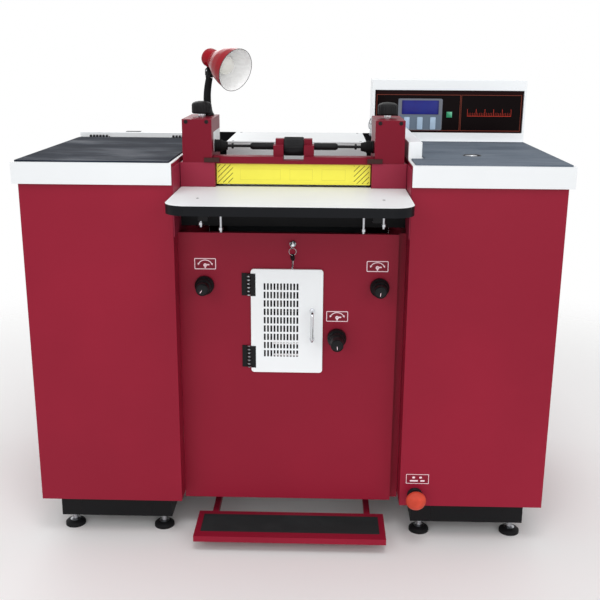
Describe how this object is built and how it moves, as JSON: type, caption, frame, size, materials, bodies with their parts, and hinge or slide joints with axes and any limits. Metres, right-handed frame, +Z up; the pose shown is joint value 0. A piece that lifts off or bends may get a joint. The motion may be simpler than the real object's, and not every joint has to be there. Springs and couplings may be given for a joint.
{
  "type": "leather splitting machine",
  "caption": "Floor-standing band knife splitting machine for leather, with a feed table, guarded roller throat, hinged side tops, vent door, control panel, work lamp and foot pedal.",
  "frame": {"origin": "on the floor under the middle of the machine's overall width and depth", "axes": "+X to the operator's right, +Y away from the operator, +Z up"},
  "size_m": [1.5, 0.966, 1.4166],
  "materials": {
    "red_paint": "semi-gloss paint on sheet steel",
    "white_paint": "smooth white paint on sheet steel",
    "black_paint": "satin black paint",
    "rubber_mat": "fine ribbed blue-grey rubber",
    "black_rubber": "moulded black rubber",
    "steel": "machined steel",
    "chrome": "polished chrome plate",
    "board": "white laminate over a black core",
    "black_plastic": "moulded black plastic",
    "panel_gloss": "dark glossy membrane panel",
    "bezel": "grey moulded bezel",
    "stop_red": "signal red plastic",
    "button_green": "green plastic",
    "yellow_paint": "yellow paint with black warning stripes",
    "lamp_paint": "glossy red enamel, white inside",
    "bulb_glass": "frosted glass",
    "motor_paint": "painted casting",
    "belt_rubber": "black rubber",
    "stone": "bonded abrasive",
    "cast": "painted casting",
    "cast_red": "painted casting",
    "gib": "dark brown paint"
  },
  "bodies": {
    "machine": {"base_frame": "black_paint", "levelling_feet": "black_paint", "left_cabinet": "red_paint", "right_cabinet": "red_paint", "rear_panel": "red_paint", "bed_casting": "cast", "left_block": "cast_red", "right_block": "cast_red", "left_pillar": "cast_red", "right_pillar": "cast_red", "gib_bars": "gib", "front_panel": "red_paint", "feed_table": "board", "table_brackets": "steel", "rear_cover": "white_paint", "well_covers": "black_paint", "left_rear_housing": "white_paint", "control_housing": "white_paint", "control_panel": "panel_gloss", "display_unit": "bezel", "hinge_leaves": "black_paint", "e_stop_base": "black_plastic", "knife_guides": "steel", "band_knife": "steel", "wheel_axles": "steel", "drive_motor": "motor_paint", "drive_belt": "belt_rubber", "grinder_motors": "motor_paint", "shaft_boots": "black_rubber"},
    "left_top": {"left_lid": "white_paint", "left_mat": "rubber_mat"},
    "right_top": {"right_lid": "white_paint", "right_mat": "rubber_mat"},
    "ring": {"ring_pull": "chrome"},
    "door": {"vent_door": "white_paint", "door_handle": "chrome"},
    "lock": {"lock_barrel": "steel"},
    "hanging_key": {"spare_key": "steel"},
    "left_knob": {"left_front_knob": "black_plastic"},
    "right_knob": {"right_front_knob": "black_plastic"},
    "lower_knob": {"lower_front_knob": "black_plastic"},
    "stop_button": {"e_stop_button": "stop_red"},
    "green_button": {"start_button": "button_green"},
    "bridge": {"gauge_beam": "cast_red", "guard_plate": "yellow_paint"},
    "upper_roller": {"gauge_roller": "steel"},
    "shaft": {"cross_shaft": "black_paint"},
    "left_pillar_knob": {"left_top_knob": "black_plastic"},
    "right_pillar_knob": {"right_top_knob": "black_plastic"},
    "lower_roller": {"feed_roller": "steel"},
    "left_wheel": {"left_band_wheel": "steel"},
    "right_wheel": {"right_band_wheel": "steel"},
    "small_pulley": {"motor_pulley": "steel"},
    "upper_stone": {"upper_grinding_wheel": "stone"},
    "lower_stone": {"lower_grinding_wheel": "stone"},
    "lamp_stalk": {"lamp_neck": "black_plastic"},
    "lamp_head": {"lamp_shade": "lamp_paint", "lamp_bulb": "bulb_glass"},
    "pedal": {"pedal_frame": "red_paint", "pedal_mat": "black_rubber"}
  },
  "joints": [
    {"name": "left_top_hinge", "type": "hinge", "parent": "machine", "child": "left_top", "pos_m": [-0.535, 0.402, 1.125], "axis": [-1, 0, 0], "range_deg": [0, 75]},
    {"name": "right_top_hinge", "type": "hinge", "parent": "machine", "child": "right_top", "pos_m": [0.535, 0.315, 1.095], "axis": [-1, 0, 0], "range_deg": [0, 75]},
    {"name": "ring_lift", "type": "hinge", "parent": "right_top", "child": "ring", "pos_m": [0.509, -0.056, 1.1206], "axis": [-1, 0, 0], "range_deg": [0, 90]},
    {"name": "door_hinge", "type": "hinge", "parent": "machine", "child": "door", "pos_m": [-0.122, -0.2233, 0.666], "axis": [0, 0, -1], "range_deg": [0, 100]},
    {"name": "lock_turn", "type": "hinge", "parent": "machine", "child": "lock", "pos_m": [0.002, -0.218, 0.891], "axis": [0, -1, 0], "range_deg": [0, 90]},
    {"name": "key_swing", "type": "hinge", "parent": "lock", "child": "hanging_key", "pos_m": [0.002, -0.2393, 0.8831], "axis": [-1, 0, 0], "range_deg": [-8, 60]},
    {"name": "left_knob_turn", "type": "hinge", "parent": "machine", "child": "left_knob", "pos_m": [-0.247, -0.233, 0.77], "axis": [0, -1, 0], "continuous": true},
    {"name": "right_knob_turn", "type": "hinge", "parent": "machine", "child": "right_knob", "pos_m": [0.247, -0.233, 0.769], "axis": [0, -1, 0], "continuous": true},
    {"name": "lower_knob_turn", "type": "hinge", "parent": "machine", "child": "lower_knob", "pos_m": [0.129, -0.233, 0.619], "axis": [0, -1, 0], "continuous": true},
    {"name": "stop_press", "type": "slide", "parent": "machine", "child": "stop_button", "axis": [0, 1, 0], "range_m": [0, 0.004]},
    {"name": "start_press", "type": "slide", "parent": "machine", "child": "green_button", "axis": [0, 1, 0], "range_m": [0, 0.003], "stiffness_N_per_m": 300},
    {"name": "bridge_lift", "type": "slide", "parent": "machine", "child": "bridge", "axis": [0, 0, 1], "range_m": [0, 0.004]},
    {"name": "upper_roller_spin", "type": "hinge", "parent": "bridge", "child": "upper_roller", "pos_m": [0, -0.113, 1.0695], "axis": [1, 0, 0], "continuous": true},
    {"name": "shaft_turn", "type": "hinge", "parent": "bridge", "child": "shaft", "pos_m": [0, -0.093, 1.1475], "axis": [1, 0, 0], "continuous": true},
    {"name": "left_pillar_knob_turn", "type": "hinge", "parent": "machine", "child": "left_pillar_knob", "pos_m": [-0.265, -0.063, 1.25], "axis": [0, 0, 1], "continuous": true},
    {"name": "right_pillar_knob_turn", "type": "hinge", "parent": "machine", "child": "right_pillar_knob", "pos_m": [0.265, -0.063, 1.25], "axis": [0, 0, 1], "continuous": true},
    {"name": "lower_roller_spin", "type": "hinge", "parent": "machine", "child": "lower_roller", "pos_m": [0, -0.113, 1.0105], "axis": [1, 0, 0], "continuous": true},
    {"name": "right_wheel_spin", "type": "hinge", "parent": "machine", "child": "right_wheel", "pos_m": [0.53, -0.08, 0.8517], "axis": [0, 1, 0], "continuous": true},
    {"name": "left_wheel_spin", "type": "hinge", "parent": "machine", "child": "left_wheel", "pos_m": [-0.53, -0.08, 0.8517], "axis": [0, 1, 0], "continuous": true},
    {"name": "motor_spin", "type": "hinge", "parent": "machine", "child": "small_pulley", "pos_m": [0.42, -0.046, 0.275], "axis": [0, 1, 0], "continuous": true},
    {"name": "upper_stone_spin", "type": "hinge", "parent": "machine", "child": "upper_stone", "pos_m": [-0.04, -0.118, 0.712], "axis": [1, 0, 0], "continuous": true},
    {"name": "lower_stone_spin", "type": "hinge", "parent": "machine", "child": "lower_stone", "pos_m": [0.04, -0.118, 0.6098], "axis": [1, 0, 0], "continuous": true},
    {"name": "lamp_swivel", "type": "hinge", "parent": "machine", "child": "lamp_stalk", "pos_m": [-0.255, -0.01, 1.226], "axis": [0, 0, 1], "range_deg": [-120, 120]},
    {"name": "lamp_tilt", "type": "hinge", "parent": "lamp_stalk", "child": "lamp_head", "pos_m": [-0.248, -0.01, 1.353], "axis": [0.6626, 0.749, 0], "range_deg": [-40, 5]},
    {"name": "pedal_press", "type": "hinge", "parent": "machine", "child": "pedal", "pos_m": [0, 0.015, 0.091], "axis": [1, 0, 0], "range_deg": [0, 4], "stiffness_Nm_per_rad": 150, "springref_deg": -6.3}
  ],
  "couplings": [
    {"joint": "left_wheel_spin", "follows": "right_wheel_spin", "ratio": 1},
    {"joint": "motor_spin", "follows": "right_wheel_spin", "ratio": 2.5}
  ]
}
